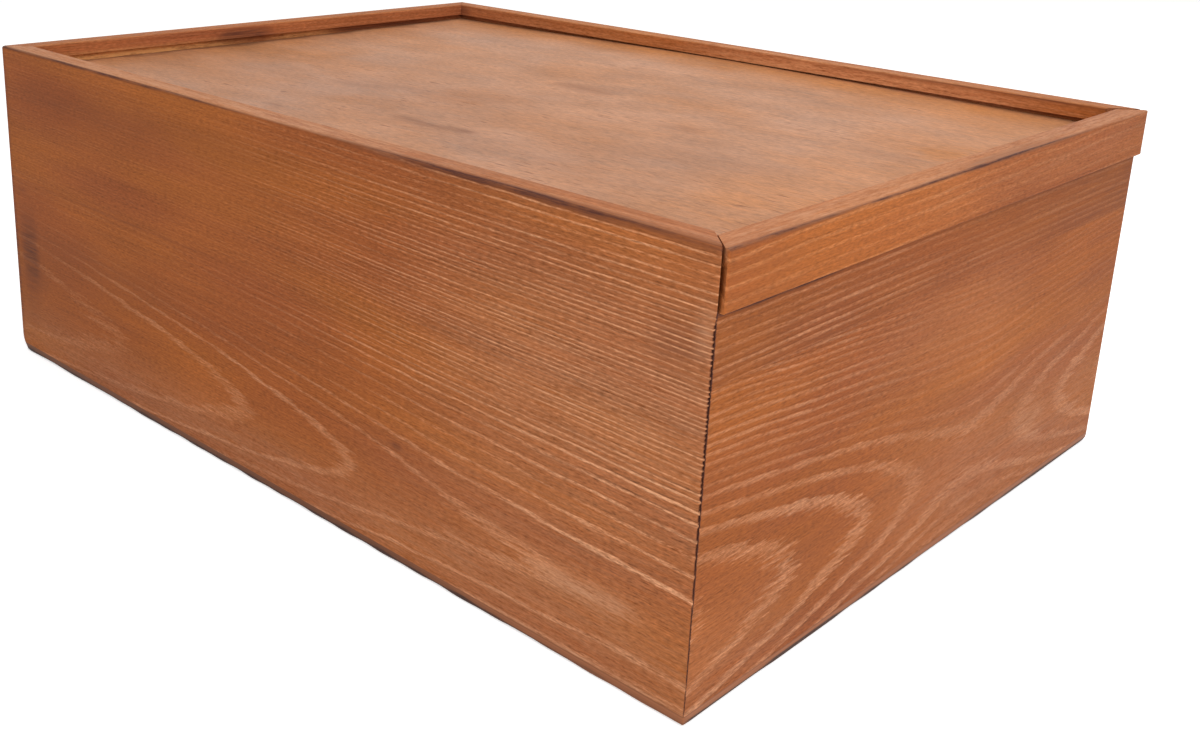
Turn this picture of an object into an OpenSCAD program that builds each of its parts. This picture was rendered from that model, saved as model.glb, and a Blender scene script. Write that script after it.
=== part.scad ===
// Keepsake box with a sliding lid: four mitred pine walls on a plywood bottom,
// and a plywood lid that runs in grooves and carries a mitred batten as its grip.
// Millimetres. +X is the way the lid slides out, +Z is up, and the origin is
// the centre of the underside.

/* [Box] */
// Length of the body, over its end walls
box_length = 270; // [180:1:400]
// Width of the body, over its long walls
box_width = 198; // [120:1:300]
// Height from the underside to the rim
box_height = 100; // [60:1:180]
// Thickness of the four walls
wall_thickness = 7; // [5:0.5:12]
// Thickness of the plywood bottom
bottom_thickness = 2.5; // [2:0.5:6]

/* [Lid panel] */
// Thickness of the plywood lid
lid_thickness = 3; // [2:0.5:4]
// Depth of the lid's top face below the rim
lid_recess = 5.6; // [4:0.1:7]
// Depth of the lid grooves in the walls
groove_depth = 2.5; // [1.5:0.1:4]
// Gap between the lid and the groove's upper face
lid_top_gap = 1.6; // [0.2:0.1:2]
// Gap between the lid and the groove's lower face
lid_bottom_gap = 0.8; // [0.2:0.1:1]
// Gap between each long edge of the lid and its groove
lid_side_gap = 0.4; // [0.2:0.1:0.8]
// Gap between the lid's leading edge and its groove when shut
lid_stop_gap = 0.3; // [0.2:0.1:1]

/* [Lid batten] */
// Height of the batten
batten_height = 12.4; // [10:0.1:25]
// Thickness of the batten
batten_thickness = 7; // [5:0.5:12]
// How far the shut batten stands out from the end wall
batten_proud = 1.5; // [0.3:0.1:4]
// How far the batten's top lies below the rim
batten_drop = 0.2; // [0:0.1:1.5]
// Gap between the batten and the end wall under it
batten_seat_gap = 0.3; // [0.2:0.1:1]
// Gap between the batten's mitres and the walls' mitres when shut
batten_mitre_gap = 0.4; // [0.2:0.1:1]
// Depth of the batten's groove, which holds the lid panel's tongue
tongue_depth = 3; // [2:0.1:4]

/* [Eased edges] */
// Radius of the rim's outer edge
rim_radius = 1; // [0.5:0.1:2]
// Radius of the batten's outer edges
batten_radius = 0.6; // [0.3:0.1:2]
// Radius of the inner edges of the rim and batten
inner_radius = 0.5; // [0.2:0.1:1]
// Radius of the upright corners, where the mitres meet
corner_radius = 0.4; // [0.2:0.1:3]
// Radius of the bottom's lower edge
foot_radius = 0.6; // [0.3:0.1:1.8]

/* [Brads] */
// Diameter of a brad's shank
brad_diameter = 1.2; // [0.8:0.1:2]
// Diameter of a brad's head
brad_head_diameter = 2; // [1.6:0.1:3]
// Thickness of a brad's head
brad_head_thickness = 0.6; // [0.4:0.1:1]
// Length of a brad, head and point included
brad_length = 14; // [8:1:25]
// Length of a brad's point
brad_point = 1.5; // [1:0.5:4]
// Gap between a brad and its hole
brad_gap = 0.05; // [0.02:0.01:0.1]
// Brads along each long wall
brads_long = 4; // [2:1:8]
// Brads along each end wall
brads_end = 3; // [2:1:6]
// Distance from a corner of the box to the nearest brad
brad_inset = 24; // [15:1:50]

/* [Hidden] */
$fn = 48;

// Heights, measured from the underside
lid_top = box_height - lid_recess;
lid_bottom = lid_top - lid_thickness;
groove_top = lid_top + lid_top_gap;
groove_bottom = lid_bottom - lid_bottom_gap;
batten_top = box_height - batten_drop;
batten_bottom = batten_top - batten_height;
end_wall_top = batten_bottom - batten_seat_gap;

// The lid in plan
lid_half_width = box_width / 2 - wall_thickness + groove_depth - lid_side_gap;
lid_lead = -box_length / 2 + wall_thickness - groove_depth + lid_stop_gap;
batten_face = box_length / 2 + batten_proud;
lid_shoulder = batten_face - batten_thickness;
batten_flush = max(0, batten_proud - batten_mitre_gap * sqrt(2));
tongue_half_width = min(lid_half_width, box_width / 2 - batten_thickness + batten_flush);

// Room that a cut leaves past the face that it passes through
over = 1;

// A quarter turn, in degrees
QUARTER = 90;

// Corners of a rectangle in plan, taken anticlockwise
CORNERS = [[-1, -1], [1, -1], [1, 1], [-1, 1]];

PINE = "#a8683f";
BATTEN = "#b26c3c";
PLY = "#c0906d";
STEEL = "#8d8f92";

// What is cut from a square corner at the origin to round it
module corner_waste(r) {
    difference() {
        translate([-over, -over]) square(r + over);
        translate([r, r]) circle(r);
    }
}

// A rectangle about the origin with its four corners rounded
module round_rectangle(length, width, r) {
    difference() {
        square([length, width], center = true);
        for (i = [0 : len(CORNERS) - 1])
            translate([CORNERS[i].x * length / 2, CORNERS[i].y * width / 2])
                rotate(QUARTER * i) corner_waste(r);
    }
}

// A board's section: x runs in from its outer face and y up from the underside
module board_section(thickness, low, high, outer_top, outer_low, inner_top) {
    difference() {
        translate([0, low]) square([thickness, high - low]);
        translate([0, high]) mirror([0, 1]) corner_waste(outer_top);
        translate([thickness, high]) rotate(2 * QUARTER) corner_waste(inner_top);
        if (outer_low > 0) translate([0, low]) corner_waste(outer_low);
    }
}

// A groove in a board's inner face, to be cut from its section
module groove_section(thickness, depth, low, high) {
    translate([thickness - depth, low]) square([depth + over, high - low]);
}

// Each of these turns what is drawn along the front to another side of the box
module on_open_end() {
    rotate(QUARTER) children();
}

module on_rear() {
    rotate(2 * QUARTER) children();
}

module on_closed_end() {
    rotate(3 * QUARTER) children();
}

// Draws a board along the front of the box, mitred at both ends, from the section
// given as its child. The side is run long, and its outer face is reach from the middle.
// Its ends stay square to the face for the depth of flush before the mitres start.
module mitred_board(run, reach, thickness, r, flush = 0) {
    inner = run / 2 - thickness + flush;
    square_end = flush > 0 ? [[run / 2, flush - reach]] : [];
    square_start = flush > 0 ? [[-run / 2, flush - reach]] : [];
    plan = concat(
        [[-run / 2, -reach], [run / 2, -reach]],
        square_end,
        [[inner, thickness - reach], [-inner, thickness - reach]],
        square_start
    );
    intersection() {
        translate([-run / 2, -reach, 0])
            rotate([QUARTER, 0, QUARTER]) linear_extrude(run) children();
        linear_extrude(box_height + over)
            intersection() {
                polygon(plan);
                round_rectangle(run, 2 * reach, r);
            }
    }
}

// A wall from the bottom board up to the rim, with the groove that the lid runs in
module grooved_wall(run, reach) {
    mitred_board(run, reach, wall_thickness, corner_radius)
        difference() {
            board_section(wall_thickness, bottom_thickness, box_height, rim_radius, 0, inner_radius);
            groove_section(wall_thickness, groove_depth, groove_bottom, groove_top);
        }
}

// How far along a side each of its brads stands, from the side's middle
function brad_places(run, count) = [
    for (i = [0 : count - 1])
        -run / 2 + brad_inset + i * (run - 2 * brad_inset) / (count - 1)
];

// Puts its child at the head of every brad along the front
module at_front_brads(run, reach, count) {
    for (x = brad_places(run, count))
        translate([x, wall_thickness / 2 - reach, 0]) children();
}

// Puts its child at the head of every brad round the box
module at_brads() {
    at_front_brads(box_length, box_width / 2, brads_long) children();
    on_rear() at_front_brads(box_length, box_width / 2, brads_long) children();
    on_open_end() at_front_brads(box_width, box_length / 2, brads_end) children();
    on_closed_end() at_front_brads(box_width, box_length / 2, brads_end) children();
}

// A brad, head down. A gap all round and some length below its head make its hole.
module brad(gap = 0, below = 0) {
    shank = brad_diameter / 2 + gap;
    head = brad_head_diameter / 2 + gap;
    rotate_extrude()
        polygon([
            [0, -below],
            [head, -below],
            [head, brad_head_thickness + gap],
            [shank, brad_head_thickness + gap],
            [shank, brad_length - brad_point],
            [0, brad_length + gap]
        ]);
}

module brad_holes() {
    at_brads() brad(brad_gap, over);
}

module front_wall() {
    color(PINE)
        difference() {
            grooved_wall(box_length, box_width / 2);
            brad_holes();
        }
}

module rear_wall() {
    color(PINE)
        difference() {
            on_rear() grooved_wall(box_length, box_width / 2);
            brad_holes();
        }
}

module closed_end_wall() {
    color(PINE)
        difference() {
            on_closed_end() grooved_wall(box_width, box_length / 2);
            brad_holes();
        }
}

// The low wall under the batten, which leaves the lid its way out
module open_end_wall() {
    color(PINE)
        difference() {
            on_open_end()
                mitred_board(box_width, box_length / 2, wall_thickness, corner_radius)
                    board_section(
                        wall_thickness, bottom_thickness, end_wall_top,
                        inner_radius, 0, inner_radius
                    );
            brad_holes();
        }
}

// A section across the bottom board with its two lower edges eased
module bottom_section(width) {
    difference() {
        translate([-width / 2, 0]) square([width, bottom_thickness]);
        translate([-width / 2, 0]) corner_waste(foot_radius);
        translate([width / 2, 0]) rotate(QUARTER) corner_waste(foot_radius);
    }
}

module bottom_board() {
    color(PLY)
        difference() {
            intersection() {
                linear_extrude(bottom_thickness)
                    round_rectangle(box_length, box_width, corner_radius);
                translate([0, box_width / 2, 0])
                    rotate([QUARTER, 0, 0]) linear_extrude(box_width) bottom_section(box_length);
                translate([-box_length / 2, 0, 0])
                    rotate([QUARTER, 0, QUARTER]) linear_extrude(box_length) bottom_section(box_width);
            }
            brad_holes();
        }
}

module bottom_brads() {
    color(STEEL) at_brads() brad();
}

// The panel and, at its open end, the narrower tongue that is glued into the batten
module lid_panel() {
    color(PLY)
        translate([0, 0, lid_bottom])
            linear_extrude(lid_thickness)
                union() {
                    translate([lid_lead, -lid_half_width])
                        square([lid_shoulder - lid_lead, 2 * lid_half_width]);
                    translate([lid_shoulder - over, -tongue_half_width])
                        square([tongue_depth + over, 2 * tongue_half_width]);
                }
}

module lid_batten() {
    color(BATTEN)
        on_open_end()
            mitred_board(box_width, batten_face, batten_thickness, corner_radius, batten_flush)
                difference() {
                    board_section(
                        batten_thickness, batten_bottom, batten_top,
                        batten_radius, batten_radius, inner_radius
                    );
                    groove_section(batten_thickness, tongue_depth, lid_bottom, lid_top);
                }
}

front_wall();
rear_wall();
closed_end_wall();
open_end_wall();
bottom_board();
bottom_brads();
lid_panel();
lid_batten();
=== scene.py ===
import math

import bmesh
import bpy
import numpy as np
from mathutils import Matrix, Vector


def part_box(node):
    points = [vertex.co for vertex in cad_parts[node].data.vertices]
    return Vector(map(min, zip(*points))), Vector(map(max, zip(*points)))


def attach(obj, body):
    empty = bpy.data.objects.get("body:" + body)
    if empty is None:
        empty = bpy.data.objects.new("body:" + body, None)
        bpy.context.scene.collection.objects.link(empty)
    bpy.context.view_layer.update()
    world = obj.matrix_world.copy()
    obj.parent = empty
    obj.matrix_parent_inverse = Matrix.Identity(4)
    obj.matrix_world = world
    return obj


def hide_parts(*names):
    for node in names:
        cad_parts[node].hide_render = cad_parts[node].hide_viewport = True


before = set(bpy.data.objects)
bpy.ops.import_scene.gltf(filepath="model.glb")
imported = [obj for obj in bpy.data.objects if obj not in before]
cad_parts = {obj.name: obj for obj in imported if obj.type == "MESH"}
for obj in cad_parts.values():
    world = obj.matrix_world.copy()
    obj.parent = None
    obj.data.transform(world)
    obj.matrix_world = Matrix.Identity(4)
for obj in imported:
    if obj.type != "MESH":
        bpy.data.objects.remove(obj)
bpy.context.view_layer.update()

# The camera stands off the near upright corner of the box, a little above its rim, tipped down and
# slightly rolled. Its lens and shift are those of a pinhole fitted to the corners of the box.
PHOTO_WIDTH = 1200
PHOTO_HEIGHT = 751
FOCAL_PIXELS = 1361.28
AXIS_PIXEL = (491.47, 237.69)
CAMERA_EYE = (0.26533, -0.29238, 0.17009)
CAMERA_AZIMUTH = math.radians(44.094)
CAMERA_ELEVATION = math.radians(16.934)
CAMERA_ROLL = math.radians(1.812)
NEAR_CLIP = 0.01

camera = bpy.data.objects.new("camera", bpy.data.cameras.new("camera"))
camera.data.sensor_fit = "HORIZONTAL"
camera.data.lens = camera.data.sensor_width * FOCAL_PIXELS / PHOTO_WIDTH
camera.data.shift_x = 0.5 - AXIS_PIXEL[0] / PHOTO_WIDTH
camera.data.shift_y = (AXIS_PIXEL[1] - PHOTO_HEIGHT / 2) / PHOTO_WIDTH
camera.data.clip_start = NEAR_CLIP
camera.matrix_world = (
    Matrix.Translation(CAMERA_EYE)
    @ Matrix.Rotation(CAMERA_AZIMUTH, 4, "Z")
    @ Matrix.Rotation(math.pi / 2 - CAMERA_ELEVATION, 4, "X")
    @ Matrix.Rotation(CAMERA_ROLL, 4, "Z")
)
bpy.context.scene.collection.objects.link(camera)
bpy.context.scene.camera = camera

# The box stands on a pale floor in a bright room. One large soft lamp stands to the right of the camera,
# a second hangs over the lid, and the room itself lights the rest.
WHITE = (1, 1, 1, 1)
ROOM_LIGHT = 0.42
FLOOR_HALF = 6.0
FLOOR_DROP = 0.0002
FLOOR_PAINT = 0.92
FLOOR_LIFT = 0.55
LAMPS = {
    "side_lamp": dict(at=(0.62, -0.52, 0.52), aim=(0.03, -0.04, 0.05), size=0.5, watts=4.2),
    "top_lamp": dict(at=(0.15, 0.25, 0.95), aim=(0.0, 0.0, 0.08), size=0.9, watts=4.0),
}


def plug(tree, value, socket):
    """Links an output to a socket, or writes a plain value on the socket."""
    if isinstance(value, bpy.types.NodeSocket):
        tree.links.new(value, socket)
    else:
        socket.default_value = value


def reckon(tree, operation, *values):
    """One Math node: the operation done on outputs or plain numbers."""
    node = tree.nodes.new("ShaderNodeMath")
    node.operation = operation
    for socket, value in zip(node.inputs, values):
        plug(tree, value, socket)
    return node.outputs[0]


def shown_ray(tree):
    """1 for a ray that shows the background itself: a camera, glossy or transmitted one."""
    path = tree.nodes.new("ShaderNodeLightPath").outputs
    mirrored = reckon(tree, "MAXIMUM", path["Is Glossy Ray"], path["Is Transmission Ray"])
    return reckon(tree, "MAXIMUM", path["Is Camera Ray"], mirrored)


room = bpy.data.worlds.new("bright_room")
room.use_nodes = True
room_shown = shown_ray(room.node_tree)
room_level = reckon(room.node_tree, "MULTIPLY_ADD", room_shown, 1 - ROOM_LIGHT, ROOM_LIGHT)
room_sky = room.node_tree.nodes["Background"]
room_sky.inputs["Color"].default_value = WHITE
plug(room.node_tree, room_level, room_sky.inputs["Strength"])
bpy.context.scene.world = room
bpy.context.scene.view_settings.view_transform = "Standard"

for lamp_name, lamp in LAMPS.items():
    light = bpy.data.lights.new(lamp_name, "AREA")
    light.size = lamp["size"]
    light.energy = lamp["watts"]
    stand = bpy.data.objects.new(lamp_name, light)
    stand.location = lamp["at"]
    stand.rotation_euler = (Vector(lamp["aim"]) - Vector(lamp["at"])).to_track_quat("-Z", "Y").to_euler()
    bpy.context.scene.collection.objects.link(stand)

floor_paint = bpy.data.materials.new("pale_floor")
floor_paint.use_nodes = True
floor_coat = floor_paint.node_tree.nodes["Principled BSDF"].inputs
floor_coat["Base Color"].default_value = (FLOOR_PAINT, FLOOR_PAINT, FLOOR_PAINT, 1)
floor_coat["Roughness"].default_value = 1.0
floor_coat["Specular IOR Level"].default_value = 0.0
floor_coat["Emission Color"].default_value = WHITE
floor_glow = reckon(floor_paint.node_tree, "MULTIPLY", shown_ray(floor_paint.node_tree), FLOOR_LIFT)
plug(floor_paint.node_tree, floor_glow, floor_coat["Emission Strength"])
floor_mesh = bpy.data.meshes.new("floor")
floor_corners = np.array([(-1, -1, 0), (1, -1, 0), (1, 1, 0), (-1, 1, 0)]) * FLOOR_HALF
floor_corners[:, 2] = -FLOOR_DROP
floor_mesh.from_pydata(floor_corners, [], [(0, 1, 2, 3)])
floor_mesh.materials.append(floor_paint)
floor = bpy.data.objects.new("floor", floor_mesh)
bpy.context.scene.collection.objects.link(floor)

# The front wall is a long pine board, planed, wire-brushed so that its hard growth rings stand up, and
# stained brown. It is grooved near its rim for the lid, mitred at both ends and glued to the end walls.
MM = 0.001
ROW_STEP = 0.25
COLUMN_STEP = 1.8
END_COLUMNS = np.array([0, 0.05, 0.11, 0.18, 0.27, 0.4, 0.6, 0.9, 1.4, 2.1, 2.9, 3.9, 5.2])
PLAIN_STEP = 2.0
EDGE_STEP = 0.8
ARC_POINTS = 6
RIM_RADIUS = 1.0
INNER_RADIUS = 0.5
CORNER_RADIUS = 0.4
GROOVE_DEPTH = 2.5
GROOVE_ABOVE = 1.6
GROOVE_BELOW = 0.8
GLUE_LINE = 0.02
RELIEF = 0.08
RELIEF_FADE = 1.2
RELIEF_SAMPLES = 6
CLOSE_RELIEF = 0.35
CLOSE_RINGS = (1.0, 2.5)
LINE_WIDTH = 0.28
LINE_SPREAD = 0.3
WIDEST_LINE = 6.0
CREST_SHARE = 0.5
EDGE_WIDTH = 0.12
EDGE_SPREAD = 0.05
RING_STRENGTH = 0.6
BEAT = 0.24
BEAT_TURN = 0.9
BEAT_START = 0.2
RHYTHM = 0.16
RHYTHM_TURN = 2.4
NARROWEST_RING = 0.5
WIDEST_RING = 60.0
SHARP_ANGLE = math.radians(50)
FOOT_WEAR = {
    (-1, -1): (4.6, 4.0, 6.0, 0.5),
    (1, -1): (1.6, 1.6, 1.8, 0.5),
    (1, 1): (2.2, 2.2, 2.6, 0.5),
    (-1, 1): (2.4, 2.0, 2.6, 0.5),
}
FRONT_LOG = dict(
    level=19.7, level_lean=-0.008, deep=50.0, deep_lean=0.0203, bow=0.0127, bow_at=62.0, bow_round=20.0,
    wave=0.05, seed=3,
    years=[
        (20, -10), (44.4, -0.95), (47.2, 0), (49.2, 1), (50.6, 2), (51.8, 3), (53, 4), (54.2, 5),
        (56.8, 7), (58.3, 8), (60.6, 10), (64.1, 15), (68.9, 22), (70.1, 24), (74.6, 31), (78.4, 35),
        (82.7, 40), (86.4, 44), (90.5, 47), (95, 50), (125, 70),
    ],
)
SOFT_PINE = (149, 82, 45)
WARM_PINE = (163, 93, 44)
HARD_PINE = (212, 152, 112)
# The dark colour serves both grime and painted shade.
PINE_GRIME_AND_SHADE = (87, 52, 43)
# The pale colour serves scuffed, bare wood and painted light.
PINE_SCUFF_AND_LIGHT = (204, 150, 114)
PINE_SHINE = 0.06
PINE_BUMP = 0.0001
PINE_TORN = 0.3
INNER_LINES = 0.3
INNER_JOINT = 0.25
CREST_RUB = (0.5, 0.1)
CREST_SMOOTHED = 0.7
NOTCH_REACH = 0.55
# The notches at the near joint are darkened as painted shade in their hollows.
NOTCH_SHADE = 2.2
FRONT_HARD = (217, 157, 116)
FRONT_LATE = 0.22
FRONT_TORN = 0.1
FIBRE_OFFSET = np.array([37.0, 11.0, 5.0])


def millimetres(node):
    """The lowest and highest corner of a CAD node, in millimetres."""
    return [np.array(corner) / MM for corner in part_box(node)]


front_low, front_high = millimetres("front_wall")
lid_low, lid_high = millimetres("lid_panel")
BOX_LENGTH = front_high[0] - front_low[0]
BOX_WIDTH = -2 * front_low[1]
WALL = front_high[1] - front_low[1]
RIM = front_high[2]
FOOT = front_low[2]


def stain(looks):
    """A colour as it looks, 0 to 255 a channel, turned to linear light by the sRGB curve."""
    share = np.array(looks) / 255
    linear = np.where(share <= 0.04045, share / 12.92, ((share + 0.055) / 1.055) ** 2.4)
    return (*linear, 1.0)


def smooth(low, high, value):
    """A smooth rise from 0 to 1 as the value goes from low to high: 3 t squared less 2 t cubed."""
    t = np.clip((value - low) / (high - low), 0, 1)
    return t * t * (3 - 2 * t)


def ripple(across, along, seed, shortest=18, longest=90, waves=7):
    """A gentle unevenness of about -1 to 1: the mean of sine waves of seeded directions and lengths."""
    chance = np.random.default_rng(seed)
    heading = chance.uniform(0, math.tau, waves)
    length = chance.uniform(shortest, longest, waves)
    start = chance.uniform(0, math.tau, waves)
    reach = across[..., None] * np.cos(heading) + along[..., None] * np.sin(heading)
    return np.sin(math.tau * reach / length + start).sum(-1) / math.sqrt(waves)


def straight(start, end, step):
    """Points from start towards end, about a step apart, with the end left for the next stretch."""
    start, end = np.array(start, float), np.array(end, float)
    count = max(1, math.ceil(np.linalg.norm(end - start) / step))
    return start + (end - start) * np.arange(count)[:, None] / count


def rounded(centre, radius, angle, end_angle, count=ARC_POINTS):
    """Points on an arc about a centre, with its last point left for the next stretch."""
    turn = np.radians(angle + (end_angle - angle) * np.arange(count) / count)
    return np.array(centre) + radius * np.stack([np.cos(turn), np.sin(turn)], -1)


def board_top(thickness, rim, radius):
    """The walk over a board's top, from the end of its outer face to the start of its inner face."""
    return [
        rounded((radius, rim - radius), radius, 180, 90),
        straight((radius, rim), (thickness - INNER_RADIUS, rim), EDGE_STEP),
        rounded((thickness - INNER_RADIUS, rim - INNER_RADIUS), INNER_RADIUS, 90, 0),
    ]


def grooved_section(thickness, foot, rim, radius, floor_depth, groove_low, groove_high):
    """A walk round a grooved wall's section, as depth in from the outer face and height: up the outer
    face, over the rim, down the inner face and through its groove, and back along the foot."""
    return np.concatenate([
        straight((0, foot), (0, rim - radius), ROW_STEP),
        *board_top(thickness, rim, radius),
        straight((thickness, rim - INNER_RADIUS), (thickness, groove_high), EDGE_STEP),
        straight((thickness, groove_high), (floor_depth, groove_high), EDGE_STEP),
        straight((floor_depth, groove_high), (floor_depth, groove_low), EDGE_STEP),
        straight((floor_depth, groove_low), (thickness, groove_low), EDGE_STEP),
        straight((thickness, groove_low), (thickness, foot), PLAIN_STEP),
        straight((thickness, foot), (0, foot), PLAIN_STEP),
    ])


def carried(section, run, flush):
    """Carries a section along a side of the box to mitred ends: a point stops as far short of the corner
    as it lies in from the outer face, past a depth that stays flush with the end, and near the corner it
    is drawn in to a rounded upright arris."""
    depth, up = section.T
    half = run / 2
    inner = half - END_COLUMNS[-1]
    middle = np.linspace(-inner, inner, math.ceil(2 * inner / COLUMN_STEP))
    columns = np.concatenate([END_COLUMNS[:-1] - half, middle, half - END_COLUMNS[-2::-1]]) / half
    cut = 0 if flush else CORNER_RADIUS * (1 - math.sqrt(0.5))
    stop = half - np.maximum(depth - flush, cut) - (0 if flush else GLUE_LINE)
    along = columns[:, None] * stop
    past = np.clip(np.abs(along) - (half - CORNER_RADIUS), 0, CORNER_RADIUS)
    arris = CORNER_RADIUS - np.sqrt(CORNER_RADIUS ** 2 - past ** 2)
    return along, np.maximum(depth, arris), np.broadcast_to(up, along.shape)


def growth_rings(along, up, depth, log):
    """Counts growth rings out from the heart of the log. The heart is a line behind the outer face that
    leans and bows along the board; the count is read from the distance to it, in the log's own table of
    years. Above its seam a board may be a second strip, edge-glued, with a log of its own."""
    away = np.hypot(along - log["bow_at"], log["bow_round"]) - log["bow_round"]
    deep = log["deep"] + log["deep_lean"] * along - log["bow"] * away - depth
    level = log["level"] + log["level_lean"] * along
    distance = np.hypot(up - level, deep) + log["wave"] * ripple(along, up, log["seed"])
    count = np.interp(distance, *np.transpose(log["years"]))
    if "strip" in log:
        count = np.where(up > log["seam"], growth_rings(along, up, depth, log["strip"]), count)
    return count


def ring_spread(ring, along, section):
    """The width of a ring on the surface, in millimetres: one over the slope of the ring count, round the
    section and along the board. With it comes the share of the slope that runs round the section."""
    walked = np.concatenate([[0], np.cumsum(np.linalg.norm(np.diff(section, axis=0), axis=1))])
    across = np.gradient(ring, walked, axis=1)
    slope = np.hypot(across, np.gradient(ring, axis=0) / np.gradient(along, axis=0)) + 1 / WIDEST_RING
    return np.clip(1 / slope, NARROWEST_RING, WIDEST_RING), (across / slope) ** 2


def raised_grain(ring, spread):
    """How far a brushed ring stands up, 0 to 1: it rises over the hard wood, whose width grows a little
    with the ring's, and falls at once where the next ring starts. Its strength goes from year to year by
    two sine waves, a slow beat and a quicker rhythm."""
    to_end = (1 - ring % 1) * spread
    width = np.minimum(LINE_WIDTH + LINE_SPREAD * spread, WIDEST_LINE)
    year = np.floor(ring)
    beat = BEAT * np.sin(BEAT_TURN * year + BEAT_START)
    strength = RING_STRENGTH + beat + RHYTHM * np.sin(RHYTHM_TURN * year)
    edge = EDGE_WIDTH + EDGE_SPREAD * spread
    return (1 - smooth(CREST_SHARE, 1, to_end / width)) * smooth(0, 1, to_end / edge) * strength


def brushed(along, up, depth, outer, foot, top, log, spread, strength):
    """Sinks the soft wood of an outer face: the depth grows where the raised grain is low, by up to the
    relief. The grain is the mean of a few heights about a row of the mesh. It dies out at the arrises and
    is shallower where the rings are close."""
    offsets = ROW_STEP * (np.arange(RELIEF_SAMPLES) - (RELIEF_SAMPLES - 1) / 2) / (RELIEF_SAMPLES / 2)
    rings = [growth_rings(along, up + offset, 0, log) for offset in offsets]
    grain = np.mean([raised_grain(ring, spread) for ring in rings], 0)
    fade = smooth(foot, foot + RELIEF_FADE, up) * (1 - smooth(top - RELIEF_FADE, top, up))
    open_rings = CLOSE_RELIEF + (1 - CLOSE_RELIEF) * smooth(*CLOSE_RINGS, spread)
    return depth + outer * fade * strength * open_rings * RELIEF * (1 - grain)


def smudge(along, up, marks):
    """Soft-edged marks on a face, added up. A mark is its place along and up, its half length and half
    height, and its strength; it falls off as a flat-topped bell."""
    total = np.zeros(np.broadcast(along, up).shape)
    for place, height, half_length, half_height, strength in marks:
        reach = ((along - place) / half_length) ** 4 + ((up - height) / half_height) ** 2
        total = total + strength * np.exp(-reach)
    return total


def stood(along, depth, up, reach, quarters):
    """Stands a board's points on a side of the box: the outer face is a reach from the middle, and the
    side is the front one turned by quarter turns about the upright axis."""
    plan = (along + 1j * (depth - reach)) * 1j ** quarters
    return np.stack([plan.real, plan.imag, up], -1)


def knocked(points):
    """Wears the four foot corners of the box. Each corner has a reach along its three edges; a point at a
    share s of the way to the plane through those reaches is pushed in by a part of (1 - s) squared."""
    blunted = points.copy()
    for (side_x, side_y), (reach_x, reach_y, reach_z, blunt) in FOOT_WEAR.items():
        inward = np.array([-side_x / reach_x, -side_y / reach_y, 1 / reach_z])
        corner = np.array([side_x * BOX_LENGTH / 2, side_y * BOX_WIDTH / 2, 0])
        share = (blunted - corner) @ inward
        push = blunt * np.clip(1 - share, 0, 1) ** 2
        blunted = blunted + push[..., None] * inward / (inward @ inward)
    return blunted


def closed_strips(rows, columns):
    """The quads of a grid whose last column meets its first."""
    start = np.arange(rows - 1)[:, None] * columns
    here = np.arange(columns)
    beside = (here + 1) % columns
    quads = [start + here, start + columns + here, start + columns + beside, start + beside]
    return np.stack(quads, -1).reshape(-1, 4)


def piece(name, points, values, material, node, body):
    """Makes a closed piece from a grid of points in millimetres, whose rows are rings of points, with a
    cap on its first and last ring. The values become attributes of the mesh. The piece rides on a body,
    stands for a CAD node, which it hides, and takes the given material."""
    rows, columns = points.shape[:2]
    caps = [list(range(columns)), list(range(rows * columns - 1, (rows - 1) * columns - 1, -1))]
    mesh = bpy.data.meshes.new(name)
    mesh.from_pydata(points.reshape(-1, 3) * MM, [], closed_strips(rows, columns).tolist() + caps)
    work = bmesh.new()
    work.from_mesh(mesh)
    work.faces.ensure_lookup_table()
    bmesh.ops.triangulate(work, faces=work.faces[-2:], ngon_method="BEAUTY")
    work.to_mesh(mesh)
    work.free()
    for value_name, value in values.items():
        vector = value.ndim > 2
        attribute = mesh.attributes.new(value_name, "FLOAT_VECTOR" if vector else "FLOAT", "POINT")
        attribute.data.foreach_set("vector" if vector else "value", value.astype(np.float32).ravel())
    mesh.polygons.foreach_set("use_smooth", np.ones(len(mesh.polygons), bool))
    mesh.set_sharp_from_angle(angle=SHARP_ANGLE)
    mesh.materials.append(material)
    thing = bpy.data.objects.new(name, mesh)
    bpy.context.scene.collection.objects.link(thing)
    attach(thing, body)
    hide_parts(node)


def ramp(tree, value, low, high):
    """A smooth rise from 0 to 1 as the value goes from low to high."""
    node = tree.nodes.new("ShaderNodeMapRange")
    node.interpolation_type = "SMOOTHSTEP"
    plug(tree, value, node.inputs["Value"])
    plug(tree, low, node.inputs["From Min"])
    plug(tree, high, node.inputs["From Max"])
    return node.outputs["Result"]


def streaks(tree, fibre, stretch, detail=3.0, roughness=0.6):
    """Noise about 0, from -0.5 to 0.5, whose coordinates are the fibre's in millimetres times a stretch."""
    scaled = tree.nodes.new("ShaderNodeVectorMath")
    scaled.operation = "MULTIPLY"
    plug(tree, fibre, scaled.inputs[0])
    plug(tree, stretch, scaled.inputs[1])
    noise = tree.nodes.new("ShaderNodeTexNoise")
    noise.inputs["Scale"].default_value = 1.0
    noise.inputs["Detail"].default_value = detail
    noise.inputs["Roughness"].default_value = roughness
    plug(tree, scaled.outputs[0], noise.inputs["Vector"])
    return reckon(tree, "SUBTRACT", noise.outputs[0], 0.5)


def mixed(tree, share, first, second):
    """A colour between two colours. The sockets are numbered, as the Mix node names them alike."""
    node = tree.nodes.new("ShaderNodeMix")
    node.data_type = "RGBA"
    plug(tree, share, node.inputs[0])
    plug(tree, first, node.inputs[6])
    plug(tree, second, node.inputs[7])
    return node.outputs[2]


def toned(tree, colour, tone):
    """A colour times a tone."""
    node = tree.nodes.new("ShaderNodeVectorMath")
    node.operation = "SCALE"
    plug(tree, colour, node.inputs[0])
    plug(tree, tone, node.inputs["Scale"])
    return node.outputs[0]


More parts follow.
